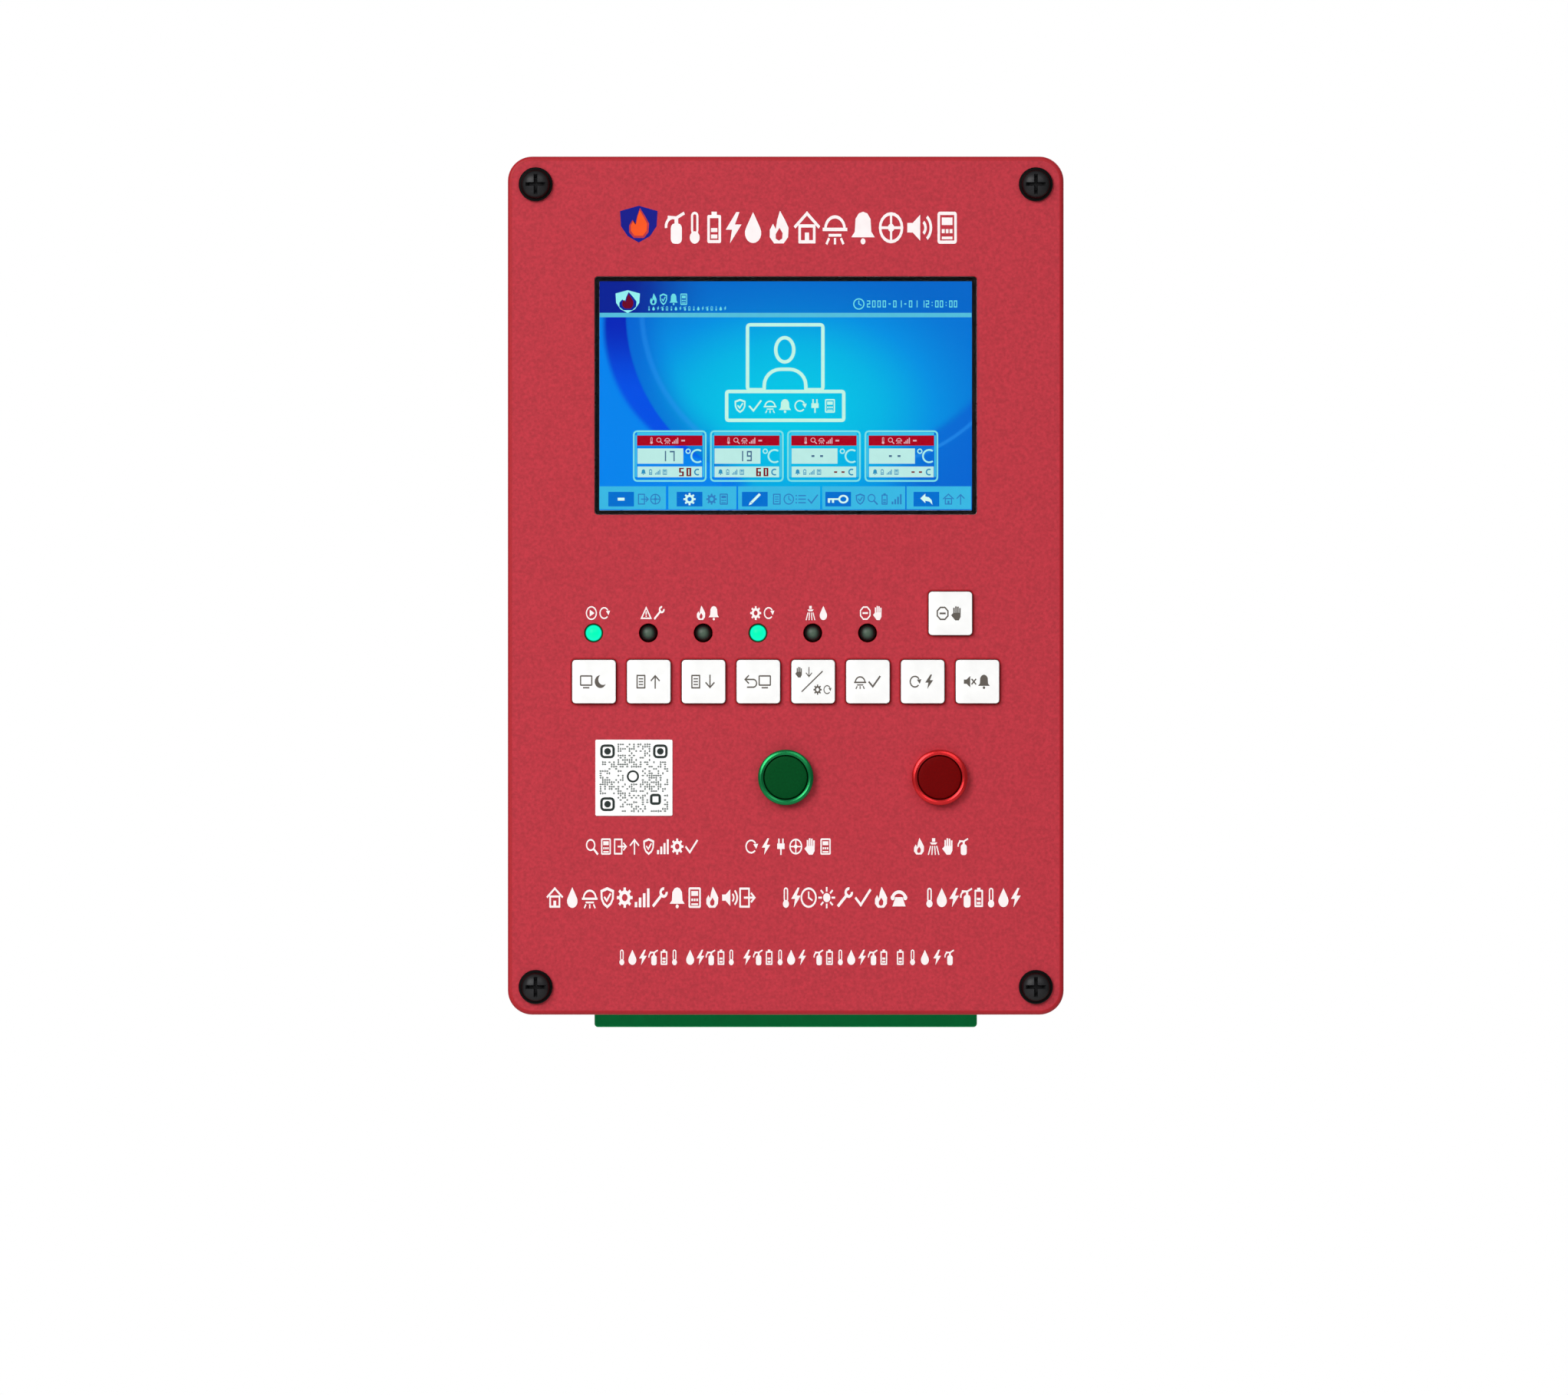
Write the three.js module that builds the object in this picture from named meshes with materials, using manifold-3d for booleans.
// Wall-mounted fire alarm control panel: a die-cast lid on a moulded rear housing, with a touch
// display, nine keys, six indicator lamps and two push buttons, wired to a main board whose plug-in
// header looks out of the bottom edge.
// Millimetres. The origin is the centre of the back face, which lies on the wall. +X is to the
// right and +Z up as the panel is read, and +Y points into the wall, so the front faces -Y.
import * as THREE from "three";
import { mergeVertices } from "three/addons/utils/BufferGeometryUtils.js";
import Module from "manifold-3d";

const wasm = await Module();
wasm.setup();

// ---- driving dimensions ----

const PANEL_WIDTH = 160;
const PANEL_HEIGHT = 247;
const PANEL_DEPTH = 50;
const CORNER_RADIUS = 7;
const FRONT_ROUNDING = 1.2;
const BACK_ROUNDING = 3;
const WALL = 2.5;
const COVER_DEPTH = 8;
const SEAM = 1; // between the lid's rim and the housing's rim, where the gasket lies
const HOUSING_INSET = 0.5;
const TOUCH = 0.1; // the gap that touching pieces keep
const ROUND_SIDES = 24; // facets of the push buttons' round pieces
const THROUGH = 1; // how far a cutting tool runs past the faces that it cuts
const SINK = 0.5; // how far a pillar, stem or blade runs into the body that it grows from
const SEAT = 0.2; // the same for a component that is soldered to its board

const SCREW = {
  x: 72, z: 115.5, headRadius: 4.9, headHeight: 3.7, shank: 2.35, length: 24, clearHole: 2.75,
  thread: 2.5, threadEnd: -15,
};
const BOSS_RADIUS = 6;
const BOARD_SCREW = { pilot: 1.2, pilotDepth: 3, clearHole: 1.7 }; // M3 into plastic

const DISPLAY = { z: 54.7, windowWidth: 110.1, windowHeight: 68.6, glass: 1.6 };
const DISPLAY_POST = { x: 65, z: 30 };
const LCD = { width: 120, height: 75.8, panelWidth: 108.8, panelHeight: 67.4 };
const CLAMP = { width: 138, height: 70, openWidth: 98, openHeight: 52, postX: 54, postZ: 30 };
const DISPLAY_BOARD = { width: 118, height: 74, front: -41.5, connectorZ: -24.7 };

const KEY = {
  size: 12.5, pitch: 15.77, count: 8, z: -27.64, proud: 1.5, clearance: 0.3, flange: 14.3, stem: 3.8,
};
const STOP_KEY = { x: 47.4, z: -8 };
const KEY_NAMES = [
  "screen_off", "page_up", "page_down", "back", "manual_auto", "self_test", "reset", "mute",
];
const KEYPAD = { width: 140, bottom: -36.5, top: 0.5, postX: 66.5, postZ: [-32.6, -5] };
const KEYPAD_CONNECTOR = { x: -30, z: -12, width: 24 };
const CONNECTOR = { height: 6, depth: 3.3 };
const SWITCH = { size: 12, depth: 3.5, well: 4.3, wellFloor: 1.5 };

const LED = {
  radius: 2.5, z: -13.63, firstX: -55.3, proud: 1.3, clearance: 0.2, length: 8.6, lead: 0.5, leadX: 1.27,
};
const LED_NAMES = ["run", "fault", "fire", "auto", "discharge", "stop"];

const BUTTON = {
  z: -55.2, ring: 8, barrel: 7.05, clearance: 0.35, bore: 6.45, cap: 6.3, stem: 2.5, travel: 2,
};
const BUTTON_NAMES = { restart: 0, discharge: 44.3 }; // name: centre X
const CODE_LABEL = { x: -43.7, z: -55.3, width: 22.2, height: 21.9, thickness: 0.2 };

const HEADER = {
  width: 110.6, bottom: -127.5, top: -112, front: -21.9, back: -10.1, wall: 1.3, floor: 3.5, clearance: 0.4,
};
const BOARD = { thickness: 1.6, halfWidth: 66, bottom: -116, top: 34 };
const STANDOFF = { x: 61, z: 63, middle: -36, radius: 3.5 };
const KEYHOLE = { x: 60, z: 95, entry: 4.5, slot: 2.5, rise: 8 };
const LOWER_HOLE = { x: 71.5, z: -92, radius: 2.5 };
const VENT = { count: 8, pitch: 5, width: 2, front: -31, back: -11 };

// depths, from the wall (0) to the front (negative)
const FRONT = -PANEL_DEPTH;
const COVER_INSIDE = FRONT + WALL;
const COVER_RIM = FRONT + COVER_DEPTH;
const HOUSING_RIM = COVER_RIM + SEAM;
const BACK_INSIDE = -WALL;
const BOARD_FRONT = -10;
const BOARD_BACK = BOARD_FRONT + BOARD.thickness;
const RIBBON_SOCKET = 3.5; // how far the main board's ribbon sockets stand out
const KEYPAD_FRONT = -38.4;
const LCD_FRONT = COVER_INSIDE + 0.3;
const LCD_BACK = LCD_FRONT + 3;
const FRAME_FRONT = LCD_BACK + 0.3;
const FRAME_BACK = FRAME_FRONT + 1.5;

// ---- materials ----

function finish(color, roughness, metalness = 0) {
  return new THREE.MeshStandardMaterial({ color, roughness, metalness });
}

const RED_COAT = finish(0xbc3a46, 0.5);
const BLACK_STEEL = finish(0x1a1a1c, 0.35, 0.8);
const STEEL = finish(0xa8aaad, 0.4, 0.9);
const GASKET_RUBBER = finish(0x1c1c1c, 0.85);
const SCREEN_GLASS = finish(0x05070c, 0.08);
const WHITE_KEY = finish(0xf0f0ee, 0.45);
const BLACK_PLASTIC = finish(0x202124, 0.6);
const GREEN_HEADER = finish(0x00642d, 0.5);
const GREEN_BOARD = finish(0x1a5c38, 0.55);
const LABEL_FILM = finish(0xf4f4f2, 0.5);
const RIBBON = finish(0xd8d4c8, 0.6);
const LED_LIT = finish(0x00ffbe, 0.2);
const LED_DARK = finish(0x1d2422, 0.2);
const GREEN_CAP = finish(0x054922, 0.35);
const GREEN_RING = finish(0x2f9c52, 0.3);
const RED_CAP = finish(0x6c0808, 0.35);
const RED_RING = finish(0xc54442, 0.3);
const BLUE_RELAY = finish(0x2a5fa8, 0.5);

// ---- shapes ----

// A Manifold solid from a closed three.js geometry.
function solid(geometry) {
  const bare = geometry.clone();
  bare.deleteAttribute("normal");
  bare.deleteAttribute("uv");
  const merged = mergeVertices(bare, 1e-3);
  const mesh = new wasm.Mesh({
    numProp: 3,
    vertProperties: merged.attributes.position.array,
    triVerts: new Uint32Array(merged.index.array),
  });
  return new wasm.Manifold(mesh);
}

function join(...bodies) {
  return bodies.reduce((whole, body) => whole.add(body));
}

function cut(body, ...tools) {
  return tools.reduce((rest, tool) => rest.subtract(tool), body);
}

function block([x0, x1], [y0, y1], [z0, z1]) {
  const geometry = new THREE.BoxGeometry(x1 - x0, y1 - y0, z1 - z0);
  return solid(geometry.translate((x0 + x1) / 2, (y0 + y1) / 2, (z0 + z1) / 2));
}

// A block centred on x and z, from the depth front to the depth back.
function post(width, height, front, back, x = 0, z = 0) {
  const across = [x - width / 2, x + width / 2];
  const up = [z - height / 2, z + height / 2];
  return block(across, [front, back], up);
}

function rod(radius, front, back, { x = 0, z = 0, sides = 16 } = {}) {
  const geometry = new THREE.CylinderGeometry(radius, radius, back - front, sides);
  return solid(geometry.translate(x, (front + back) / 2, z));
}

function roundedRect(width, height, radius, x = 0, z = 0) {
  const outline = new THREE.Shape();
  const right = width / 2 - radius;
  const top = height / 2 - radius;
  const corners = [[right, top], [-right, top], [-right, -top], [right, -top]];
  corners.forEach(([dx, dz], quarter) => {
    const start = (quarter * Math.PI) / 2;
    outline.absarc(x + dx, z + dz, radius, start, start + Math.PI / 2);
  });
  outline.closePath();
  return outline;
}

// A plate drawn in X and Z that fills the depth from front to back; edge rounds both its faces.
function plate(outline, front, back, { arcSteps = 2, edge = 0, edgeSteps = 2 } = {}) {
  const geometry = new THREE.ExtrudeGeometry(outline, {
    depth: back - front - 2 * edge,
    curveSegments: arcSteps,
    bevelEnabled: edge > 0,
    bevelThickness: edge,
    bevelSize: edge,
    bevelOffset: -edge,
    bevelSegments: edgeSteps,
  });
  return solid(geometry.rotateX(Math.PI / 2).translate(0, back - edge, 0));
}

// A body of revolution about Y; the profile is [radius, y] points from the front to the back.
function turned(profile, sides) {
  const points = profile.map(([radius, y]) => new THREE.Vector2(radius, y));
  return solid(new THREE.LatheGeometry(points, sides));
}

// The profile points of a quarter-ellipse dome that starts on the axis.
function dome(radius, height, baseY, steps) {
  return Array.from({ length: steps + 1 }, (_, i) => {
    const angle = ((Math.PI / 2) * i) / steps;
    return [i === 0 ? 0 : radius * Math.sin(angle), baseY - height * Math.cos(angle)];
  });
}

// A round wire or lead along a curve.
function tube(curve, radius, steps, sides) {
  const section = new THREE.Shape();
  section.absarc(0, 0, radius, 0, 2 * Math.PI);
  const options = { steps, extrudePath: curve, curveSegments: sides / 2 };
  return solid(new THREE.ExtrudeGeometry(section, options));
}

// A flat ribbon cable that follows a curve drawn in Z and Y, centred on x = 0.
function ribbon(curve, width, thickness, steps) {
  const sides = [-thickness / 2, thickness / 2].map((offset) =>
    Array.from({ length: steps + 1 }, (_, i) => {
      const along = curve.getTangent(i / steps);
      const at = curve.getPoint(i / steps);
      return new THREE.Vector2(at.x - offset * along.y, at.y + offset * along.x);
    }),
  );
  const outline = new THREE.Shape([...sides[0], ...sides[1].reverse()]);
  const geometry = new THREE.ExtrudeGeometry(outline, { depth: width, bevelEnabled: false });
  // the curve's x becomes Z and its y becomes Y, and the width runs along X
  const axes = new THREE.Matrix4().makeBasis(
    new THREE.Vector3(0, 0, 1), new THREE.Vector3(0, 1, 0), new THREE.Vector3(-1, 0, 0),
  );
  return solid(geometry.applyMatrix4(axes).translate(width / 2, 0, 0));
}

class Helix extends THREE.Curve {
  constructor(radius, height, turns) {
    super();
    Object.assign(this, { radius, height, turns });
  }

  getPoint(u) {
    const angle = u * this.turns * 2 * Math.PI;
    const across = this.radius * Math.cos(angle);
    return new THREE.Vector3(across, this.height * u, this.radius * Math.sin(angle));
  }
}

function mirrored(x, z) {
  return [[x, z], [-x, z], [x, -z], [-x, -z]];
}

function named(name, body, material, position = [0, 0, 0]) {
  const { vertProperties, triVerts } = body.getMesh();
  const geometry = new THREE.BufferGeometry();
  geometry.setAttribute("position", new THREE.BufferAttribute(vertProperties, 3));
  geometry.setIndex(new THREE.BufferAttribute(triVerts, 1));
  geometry.computeVertexNormals();
  const mesh = new THREE.Mesh(geometry, material);
  mesh.name = name;
  mesh.position.set(...position);
  return mesh;
}

function group(...members) {
  const assembly = new THREE.Group();
  assembly.add(...members);
  return assembly;
}

// ---- places that repeat ----

const keyPlaces = KEY_NAMES.map((name, i) => ({
  name, x: (i - (KEY.count - 1) / 2) * KEY.pitch, z: KEY.z,
}));
keyPlaces.push({ name: "stop", ...STOP_KEY });
const ledPlaces = LED_NAMES.map((name, i) => ({
  name, x: LED.firstX + i * KEY.pitch, lit: name === "run" || name === "auto",
}));
const screwPlaces = mirrored(SCREW.x, SCREW.z);

// ---- enclosure ----

function coverCuts() {
  const [from, to] = [FRONT - THROUGH, COVER_INSIDE + THROUGH];
  const window = roundedRect(DISPLAY.windowWidth, DISPLAY.windowHeight, 1, 0, DISPLAY.z);
  const keyHole = KEY.size + 2 * KEY.clearance;
  const keys = keyPlaces.map(({ x, z }) =>
    plate(roundedRect(keyHole, keyHole, 1.2, x, z), from, to, { arcSteps: 1 }),
  );
  const leds = ledPlaces.map(({ x }) => rod(LED.radius + LED.clearance, from, to, { x, z: LED.z }));
  const buttons = Object.values(BUTTON_NAMES).map((x) =>
    rod(BUTTON.barrel + BUTTON.clearance, from, to, { x, z: BUTTON.z, sides: ROUND_SIDES }),
  );
  const screws = screwPlaces.map(([x, z]) =>
    rod(SCREW.clearHole, from, COVER_RIM + THROUGH, { x, z }),
  );
  return [plate(window, from, to), ...keys, ...leds, ...buttons, ...screws];
}

// A pillar cast on the inside of the lid, with a pilot hole for a board screw.
function pillar(x, z, end) {
  const { pilot, pilotDepth } = BOARD_SCREW;
  const stem = rod(3, COVER_INSIDE - SINK, end, { x, z, sides: 12 });
  return cut(stem, rod(pilot, end - pilotDepth, end + THROUGH, { x, z, sides: 8 }));
}

function frontCover() {
  const shell = plate(
    roundedRect(PANEL_WIDTH, PANEL_HEIGHT, CORNER_RADIUS),
    FRONT, COVER_RIM + 2 * FRONT_ROUNDING,
    { arcSteps: 4, edge: FRONT_ROUNDING, edgeSteps: 3 },
  );
  const behind = post(PANEL_WIDTH + 2, PANEL_HEIGHT + 2, COVER_RIM, COVER_RIM + 3);
  const cavity = plate(
    roundedRect(PANEL_WIDTH - 2 * WALL, PANEL_HEIGHT - 2 * WALL, CORNER_RADIUS - WALL),
    COVER_INSIDE, COVER_RIM + THROUGH,
  );
  const bosses = screwPlaces.map(([x, z]) => rod(BOSS_RADIUS, COVER_INSIDE - SINK, COVER_RIM, { x, z }));
  const displayPillars = mirrored(DISPLAY_POST.x, DISPLAY_POST.z).map(([x, z]) =>
    pillar(x, DISPLAY.z + z, FRAME_FRONT - TOUCH),
  );
  const keypadPillars = [-1, 1].flatMap((side) =>
    KEYPAD.postZ.map((z) => pillar(side * KEYPAD.postX, z, KEYPAD_FRONT - TOUCH)),
  );
  const casting = join(cut(shell, behind, cavity), ...bosses, ...displayPillars, ...keypadPillars);
  return named("front_cover", cut(casting, ...coverCuts()), RED_COAT);
}

function coverGasket() {
  const [front, back] = [COVER_RIM + TOUCH, HOUSING_RIM - TOUCH];
  const inset = 0.6;
  const width = 2;
  const ring = (from, start, end) => plate(
    roundedRect(PANEL_WIDTH - 2 * from, PANEL_HEIGHT - 2 * from, CORNER_RADIUS - from), start, end,
  );
  const hole = ring(inset + width, front - THROUGH, back + THROUGH);
  return named("cover_gasket", cut(ring(inset, front, back), hole), GASKET_RUBBER);
}

// A keyhole through the back: the screw head enters the round part and the panel drops on to it.
function keyhole(side) {
  const { entry, slot, rise, z } = KEYHOLE;
  const x = side * KEYHOLE.x;
  const [from, to] = [BACK_INSIDE - THROUGH, THROUGH];
  return join(
    rod(entry, from, to, { x, z, sides: 20 }),
    rod(slot, from, to, { x, z: z + rise, sides: 12 }),
    post(2 * slot, rise, from, to, x, z + rise / 2),
  );
}

function vents(side) {
  const wallX = side * (PANEL_WIDTH / 2 - HOUSING_INSET - WALL / 2);
  const depth = (VENT.front + VENT.back) / 2;
  const length = VENT.back - VENT.front;
  return Array.from({ length: VENT.count }, (_, i) => {
    const z = (i - (VENT.count - 1) / 2) * VENT.pitch;
    return post(WALL + 2 * THROUGH, VENT.width, depth - length / 2, depth + length / 2, wallX, z);
  });
}

function standoffs() {
  const end = BOARD_BACK + TOUCH;
  return mirrored(STANDOFF.x, STANDOFF.z).map(([x, dz]) => {
    const z = STANDOFF.middle + dz;
    const column = rod(STANDOFF.radius, end, BACK_INSIDE + SINK, { x, z, sides: 12 });
    return cut(column, rod(BOARD_SCREW.pilot, end - THROUGH, BACK_INSIDE - SINK, { x, z, sides: 8 }));
  });
}

function rearHousing() {
  const width = PANEL_WIDTH - 2 * HOUSING_INSET;
  const height = PANEL_HEIGHT - 2 * HOUSING_INSET;
  const radius = CORNER_RADIUS - HOUSING_INSET;
  const shell = plate(
    roundedRect(width, height, radius), HOUSING_RIM - 2 * BACK_ROUNDING, 0,
    { arcSteps: 3, edge: BACK_ROUNDING, edgeSteps: 3 },
  );
  const ahead = post(width + 2, height + 2, HOUSING_RIM - 7, HOUSING_RIM);
  const cavity = plate(
    roundedRect(width - 2 * WALL, height - 2 * WALL, radius - WALL), HOUSING_RIM - THROUGH, BACK_INSIDE,
  );
  const bosses = screwPlaces.map(([x, z]) =>
    rod(BOSS_RADIUS, HOUSING_RIM, BACK_INSIDE + SINK, { x, z }),
  );
  const threads = screwPlaces.map(([x, z]) =>
    rod(SCREW.thread, HOUSING_RIM - THROUGH, SCREW.threadEnd, { x, z }),
  );
  const lowerHoles = [-1, 1].map((side) => {
    const place = { x: side * LOWER_HOLE.x, z: LOWER_HOLE.z };
    return rod(LOWER_HOLE.radius, BACK_INSIDE - THROUGH, THROUGH, place);
  });
  const gap = HEADER.clearance;
  const headerSlot = block(
    [-HEADER.width / 2 - gap, HEADER.width / 2 + gap], [HEADER.front - gap, HEADER.back + gap],
    [-PANEL_HEIGHT / 2 - THROUGH, -height / 2 + WALL + THROUGH],
  );
  const body = join(cut(shell, ahead, cavity), ...bosses, ...standoffs());
  const openings = [keyhole(-1), keyhole(1), ...vents(-1), ...vents(1), ...lowerHoles, headerSlot];
  return named("rear_housing", cut(body, ...threads, ...openings), RED_COAT);
}

function coverScrews() {
  const { headRadius, headHeight, shank, length } = SCREW;
  const skirt = 0.9;
  const profile = [...dome(headRadius, headHeight - skirt, -skirt, 4), [headRadius, 0]];
  profile.push([shank, 0], [shank, length], [0, length]);
  const blank = turned(profile, 14);
  const slots = [[5, 0.9], [0.9, 5]].map(([w, h]) => post(w, h, -headHeight - 1, -headHeight + 2));
  const screw = cut(blank, ...slots);
  return screwPlaces.map(([x, z], i) =>
    named(`cover_screw_${i + 1}`, screw, BLACK_STEEL, [x, FRONT - 0.05, z]),
  );
}

function codeLabel() {
  const { x, z, width, height, thickness } = CODE_LABEL;
  const film = plate(roundedRect(width, height, 0.5), -thickness, 0, { arcSteps: 1 });
  return named("code_label", film, LABEL_FILM, [x, FRONT - 0.05, z]);
}

// ---- display ----

function touchGlass() {
  const front = FRONT + 0.15;
  const outline = roundedRect(DISPLAY.windowWidth - 0.4, DISPLAY.windowHeight - 0.4, 0.8);
  const pane = plate(outline, front, front + DISPLAY.glass, { edge: 0.2, edgeSteps: 1 });
  return named("touch_glass", pane, SCREEN_GLASS);
}

function lcdModule() {
  const tray = plate(roundedRect(LCD.width, LCD.height, 1), LCD_FRONT, LCD_BACK, { arcSteps: 1 });
  const front = FRONT + DISPLAY.glass + 0.3;
  const panel = post(LCD.panelWidth, LCD.panelHeight, front, LCD_FRONT + SINK);
  return named("lcd_module", join(tray, panel), STEEL);
}

// A stamped frame that clamps the display against the lid and carries the display board on posts.
function displayFrame() {
  const blank = plate(roundedRect(CLAMP.width, CLAMP.height, 4), FRAME_FRONT, FRAME_BACK);
  const [from, to] = [FRAME_FRONT - THROUGH, FRAME_BACK + THROUGH];
  const opening = post(CLAMP.openWidth, CLAMP.openHeight, from, to);
  const holes = mirrored(DISPLAY_POST.x, DISPLAY_POST.z).map(([x, z]) =>
    rod(BOARD_SCREW.clearHole, from, to, { x, z, sides: 12 }),
  );
  const posts = mirrored(CLAMP.postX, CLAMP.postZ).map(([x, z]) =>
    rod(2.5, FRAME_BACK - 0.3, DISPLAY_BOARD.front - TOUCH, { x, z, sides: 12 }),
  );
  return named("display_frame", join(cut(blank, opening, ...holes), ...posts), STEEL);
}

function displayBoard() {
  const { width, height, front, connectorZ } = DISPLAY_BOARD;
  const back = front + BOARD.thickness;
  const board = plate(roundedRect(width, height, 2), front, back, { arcSteps: 1 });
  const connector = post(34, CONNECTOR.height, back - SEAT, back + CONNECTOR.depth, 0, connectorZ);
  const processor = post(20, 20, back - SEAT, back + 1.6, -28, 4);
  const memory = post(14, 10, back - SEAT, back + 1.2, 4, 8);
  return named("display_board", join(board, connector, processor, memory), GREEN_BOARD);
}

function display() {
  const assembly = group(touchGlass(), lcdModule(), displayFrame(), displayBoard());
  assembly.position.z = DISPLAY.z;
  return assembly;
}

// A ribbon that leaves one board at height z0 and reaches the main board's socket at height z1.
function ribbonBetween(name, fromDepth, z0, z1, x, width) {
  const toDepth = BOARD_FRONT - RIBBON_SOCKET - 0.2;
  const middle = (fromDepth + toDepth) / 2;
  const corners = [[z0, fromDepth], [z0, middle + 2], [z1, middle - 2], [z1, toDepth]];
  const curve = new THREE.CubicBezierCurve(...corners.map((point) => new THREE.Vector2(...point)));
  return named(name, ribbon(curve, width, 0.6, 10), RIBBON, [x, 0, 0]);
}

// ---- keypad ----

function keypadBoard() {
  const back = KEYPAD_FRONT + BOARD.thickness;
  const middle = (KEYPAD.bottom + KEYPAD.top) / 2;
  const outline = roundedRect(KEYPAD.width, KEYPAD.top - KEYPAD.bottom, 2, 0, middle);
  const board = plate(outline, KEYPAD_FRONT, back, { arcSteps: 1 });
  const holes = [-1, 1].flatMap((side) => KEYPAD.postZ.map((z) =>
    rod(BOARD_SCREW.clearHole, KEYPAD_FRONT - THROUGH, back + THROUGH,
      { x: side * KEYPAD.postX, z, sides: 12 }),
  ));
  const { x, z, width } = KEYPAD_CONNECTOR;
  const connector = post(width, CONNECTOR.height, back - SEAT, back + CONNECTOR.depth, x, z);
  return named("keypad_board", join(cut(board, ...holes), connector), GREEN_BOARD);
}

// A cap that shows through the lid, with a retaining flange behind it and a stem into the switch.
function keyCap() {
  const flangeFront = COVER_INSIDE + 0.3;
  const top = roundedRect(KEY.size, KEY.size, 1);
  const rounding = { arcSteps: 1, edge: 0.35, edgeSteps: 1 };
  const crown = plate(top, FRONT - KEY.proud, flangeFront + 0.4, rounding);
  const flange = post(KEY.flange, KEY.flange, flangeFront, flangeFront + 0.8);
  const stem = post(KEY.stem, KEY.stem, flangeFront + 0.5, KEYPAD_FRONT - 2.2);
  return join(crown, flange, stem);
}

function tactileSwitch() {
  const front = KEYPAD_FRONT - SWITCH.depth;
  const body = post(SWITCH.size, SWITCH.size, front, KEYPAD_FRONT - 0.05);
  const well = post(SWITCH.well, SWITCH.well, front - THROUGH, KEYPAD_FRONT - SWITCH.wellFloor);
  return cut(body, well);
}

function indicator() {
  const tip = FRONT - LED.proud;
  const base = tip + LED.length;
  const flangeRadius = LED.radius + 0.4;
  const profile = [...dome(LED.radius, LED.radius, tip + LED.radius, 3), [LED.radius, base - 1]];
  profile.push([flangeRadius, base - 1], [flangeRadius, base], [0, base]);
  const leads = [-LED.leadX, LED.leadX].map((x) =>
    post(LED.lead, LED.lead, base - SINK, KEYPAD_FRONT - TOUCH, x),
  );
  return join(turned(profile, 12), ...leads);
}

function keypad() {
  const cap = keyCap();
  const body = tactileSwitch();
  const lamp = indicator();
  return group(
    keypadBoard(),
    ...keyPlaces.map(({ name, x, z }) => named(`key_${name}`, cap, WHITE_KEY, [x, 0, z])),
    ...keyPlaces.map(({ name, x, z }) => named(`switch_${name}`, body, BLACK_PLASTIC, [x, 0, z])),
    ...ledPlaces.map(({ name, x, lit }) =>
      named(`led_${name}`, lamp, lit ? LED_LIT : LED_DARK, [x, 0, LED.z]),
    ),
  );
}

// ---- push buttons ----

const CAP_BORE_END = -42;
const BARREL_END = -36;

function buttonBezel() {
  const crown = FRONT - 2.7;
  const seat = FRONT - 0.05;
  const { ring, barrel, bore } = BUTTON;
  const guide = BUTTON.stem + 0.4;
  return turned([
    [bore, crown], [ring - 0.7, crown], [ring, crown + 0.9], [ring, seat], [barrel, seat],
    [barrel, BARREL_END], [guide, BARREL_END], [guide, CAP_BORE_END], [bore, CAP_BORE_END],
    [bore, crown],
  ], ROUND_SIDES);
}

function buttonCap() {
  const top = FRONT - 2.2;
  const under = top + 3.2;
  const end = BARREL_END - BUTTON.travel - 0.2;
  const { cap, stem } = BUTTON;
  return turned([[0, top], [cap - 0.4, top], [cap, top + 0.4], [cap, under], [stem, under],
    [stem, end], [0, end]], ROUND_SIDES);
}

// The return spring, seated between the cap and the step of the bezel's bore.
function buttonSpring() {
  const wire = 0.35;
  const front = FRONT + 1 + TOUCH + wire;
  const coil = new Helix(4.5, CAP_BORE_END - TOUCH - wire - front, 4);
  return tube(coil, wire, 44, 4).translate([0, front, 0]);
}

function buttonNut() {
  const flatToFlat = 17;
  const [front, back] = [COVER_INSIDE + 0.2, COVER_INSIDE + 3.2];
  const hexagon = rod(flatToFlat / Math.sqrt(3), front, back, { sides: 6 });
  return cut(hexagon, rod(BUTTON.barrel + 0.2, front - THROUGH, back + THROUGH, { sides: ROUND_SIDES }));
}

function buttonContacts() {
  const back = -24;
  const body = plate(roundedRect(14, 14, 1), BARREL_END + 0.2, back, { arcSteps: 1 });
  const blades = mirrored(3.5, 3.5).map(([x, z]) => post(2.8, 0.8, back - SINK, -18, x, z));
  return join(body, ...blades);
}

// The lead from the contact block down to its socket on the main board.
function buttonLead() {
  const route = [[-17.6, 0], [-13.8, -2.6], [-12.8, -7], [-12.8, -12.3]];
  const points = route.map(([y, dz]) => new THREE.Vector3(0, y, BUTTON.z + dz));
  return tube(new THREE.CatmullRomCurve3(points), 1.5, 12, 8);
}

function pushButton(name, x, capMaterial, ringMaterial) {
  const pieces = {
    bezel: [buttonBezel(), ringMaterial],
    cap: [buttonCap(), capMaterial],
    spring: [buttonSpring(), STEEL],
    nut: [buttonNut(), BLACK_PLASTIC],
    contacts: [buttonContacts(), BLACK_PLASTIC],
  };
  const meshes = Object.entries(pieces).map(([piece, [body, material]]) =>
    named(`${name}_button_${piece}`, body, material, [x, 0, BUTTON.z]),
  );
  return group(...meshes, named(`${name}_button_lead`, buttonLead(), BLACK_PLASTIC, [x, 0, 0]));
}

// ---- main board ----

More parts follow.
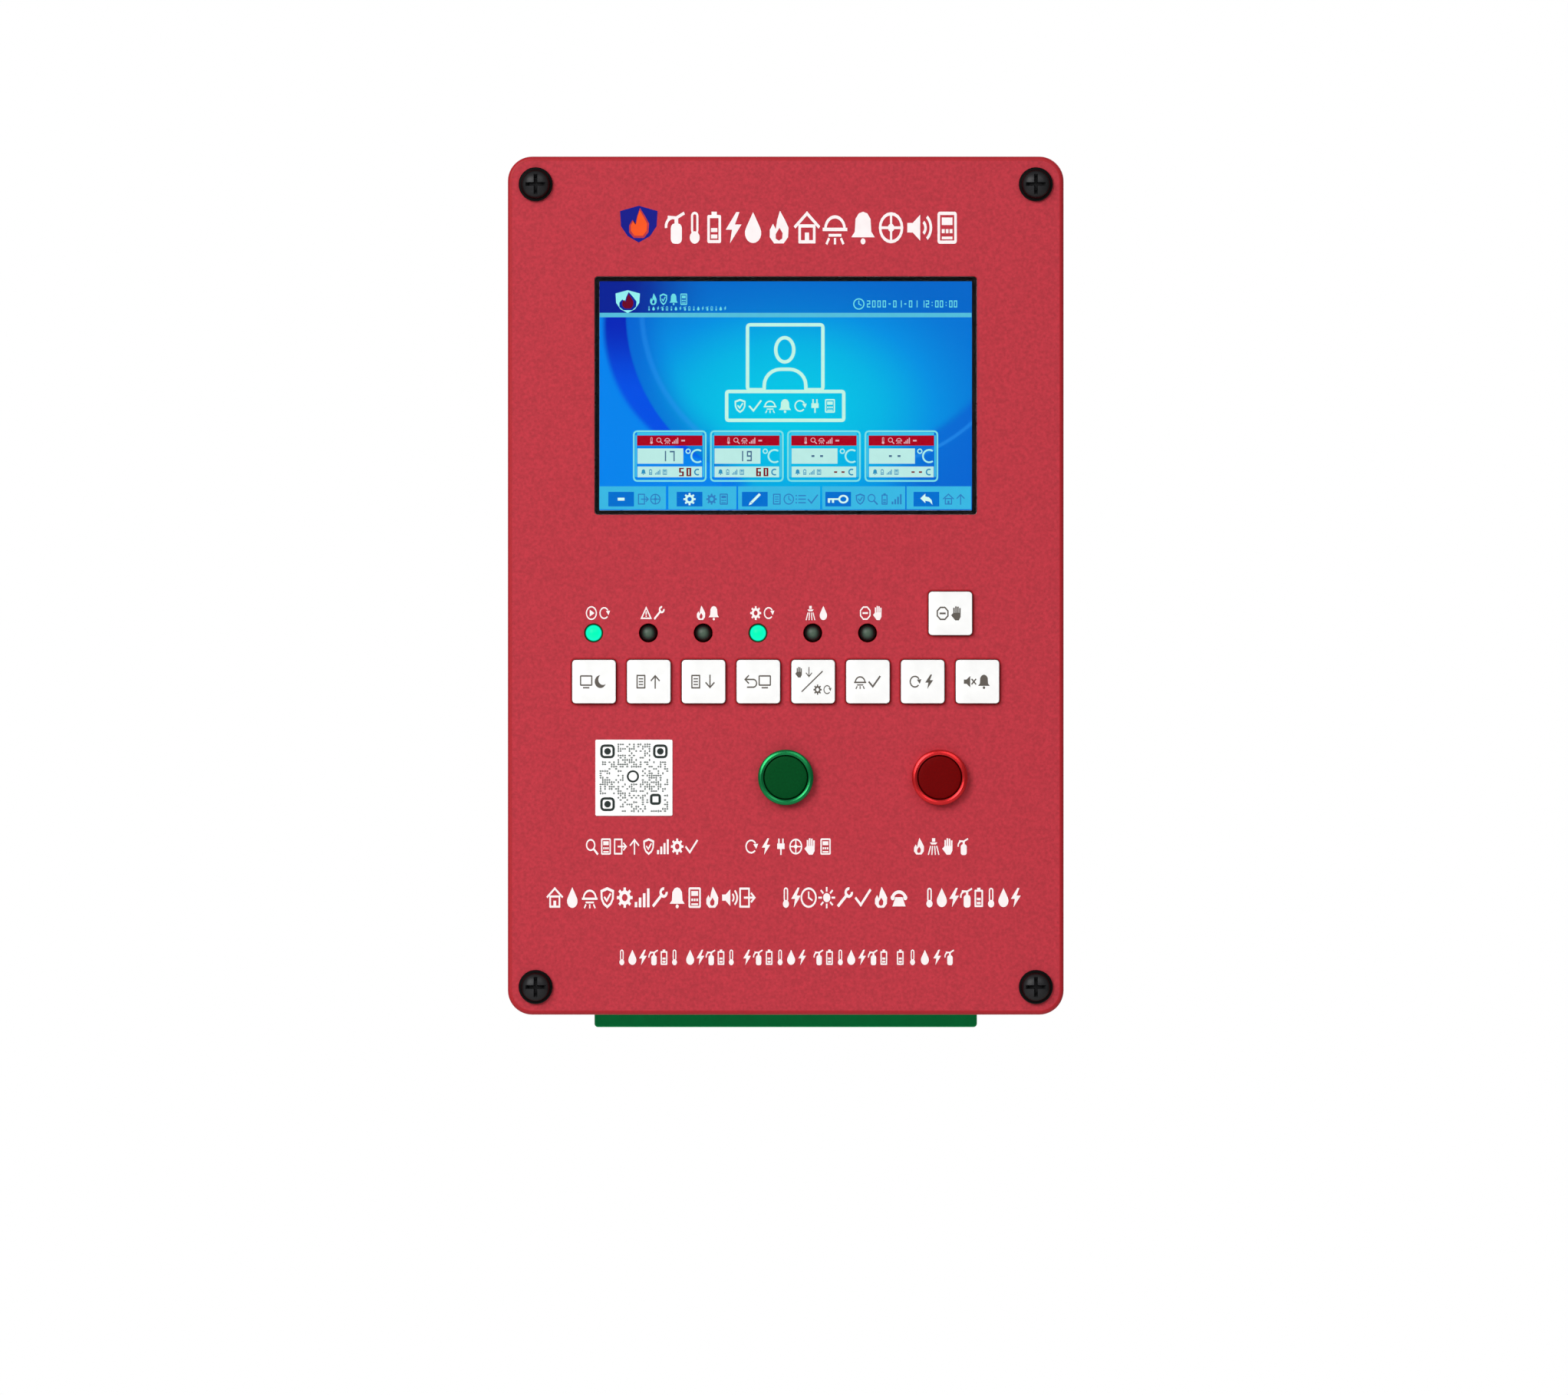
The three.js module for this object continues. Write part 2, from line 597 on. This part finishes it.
function mainBoard() {
  const middle = (BOARD.bottom + BOARD.top) / 2;
  const outline = roundedRect(2 * BOARD.halfWidth, BOARD.top - BOARD.bottom, 3, 0, middle);
  const blank = plate(outline, BOARD_FRONT, BOARD_BACK, { arcSteps: 1 });
  const holes = mirrored(STANDOFF.x, STANDOFF.z).map(([x, dz]) => {
    const place = { x, z: STANDOFF.middle + dz, sides: 12 };
    return rod(BOARD_SCREW.clearHole, BOARD_FRONT - THROUGH, BOARD_BACK + THROUGH, place);
  });
  const sockets = [
    post(34, 6, BOARD_FRONT - RIBBON_SOCKET, BOARD_FRONT + SEAT, 0, 20),
    post(24, 6, BOARD_FRONT - RIBBON_SOCKET, BOARD_FRONT + SEAT, KEYPAD_CONNECTOR.x, -22),
    ...Object.values(BUTTON_NAMES).map((x) =>
      post(8, 6, BOARD_FRONT - 6, BOARD_FRONT + SEAT, x, BUTTON.z - 15.6),
    ),
  ];
  return named("main_board", join(cut(blank, ...holes), ...sockets), GREEN_BOARD);
}

// The plug-in header: a trough that opens downward, out of the bottom of the housing.
function terminalHeader() {
  const half = HEADER.width / 2;
  const { wall, front, back, bottom, top } = HEADER;
  const body = block([-half, half], [front, back], [bottom, top]);
  const trough = block(
    [-half + wall, half - wall], [front + wall, back - wall], [bottom - THROUGH, top - HEADER.floor],
  );
  return named("terminal_header", cut(body, trough), GREEN_HEADER);
}

function onBoard(height) {
  return [BOARD_FRONT - TOUCH - height, BOARD_FRONT - TOUCH];
}

function coinCell() {
  const [front, back] = onBoard(5);
  const holder = plate(roundedRect(24, 16, 1), front + 2.5, back, { arcSteps: 1 });
  return join(holder, rod(10, front, back - 1, { sides: 24 }));
}

function buzzer() {
  const [front, back] = onBoard(9.5);
  return cut(rod(6, front, back, { sides: 20 }), rod(1, front - 1, front + 3, { sides: 8 }));
}

function inductor() {
  const [front, back] = onBoard(8);
  const core = plate(roundedRect(12, 12, 3), front, back, { arcSteps: 1 });
  return cut(core, rod(2, front - 1, front + 2, { sides: 8 }));
}

function filterCapacitor() {
  const [front, back] = onBoard(20);
  const can = 6.25;
  const groove = back - 3;
  return turned([[0, front], [can - 0.5, front], [can, front + 0.5], [can, groove - 0.8],
    [can - 0.5, groove], [can, groove + 0.8], [can, back], [0, back]], 20);
}

function boardParts() {
  const relay = plate(roundedRect(19, 15.5, 0.8), ...onBoard(15.5), { arcSteps: 1 });
  const chip = plate(roundedRect(14, 14, 0.5), ...onBoard(1.4), { arcSteps: 1 });
  return [
    named("relay_1", relay, BLUE_RELAY, [-48, 0, -90]),
    named("relay_2", relay, BLUE_RELAY, [-25, 0, -90]),
    named("filter_capacitor", filterCapacitor(), BLACK_PLASTIC, [48, 0, -92]),
    named("power_inductor", inductor(), BLACK_PLASTIC, [22, 0, -92]),
    named("controller_chip", chip, BLACK_PLASTIC, [24, 0, -25]),
    named("buzzer", buzzer(), BLACK_PLASTIC, [52, 0, 4]),
    named("coin_cell", coinCell(), STEEL, [-48, 0, 8]),
  ];
}

const ribbons = [
  ribbonBetween("display_ribbon", -36.4, DISPLAY.z + DISPLAY_BOARD.connectorZ, 20, 0, 30),
  ribbonBetween("keypad_ribbon", -33.3, KEYPAD_CONNECTOR.z, -22, KEYPAD_CONNECTOR.x, 20),
];

const panel = group(
  group(rearHousing(), frontCover(), coverGasket(), codeLabel(), ...coverScrews()),
  display(),
  keypad(),
  pushButton("restart", BUTTON_NAMES.restart, GREEN_CAP, GREEN_RING),
  pushButton("discharge", BUTTON_NAMES.discharge, RED_CAP, RED_RING),
  group(mainBoard(), terminalHeader(), ...boardParts(), ...ribbons),
);

export default panel;
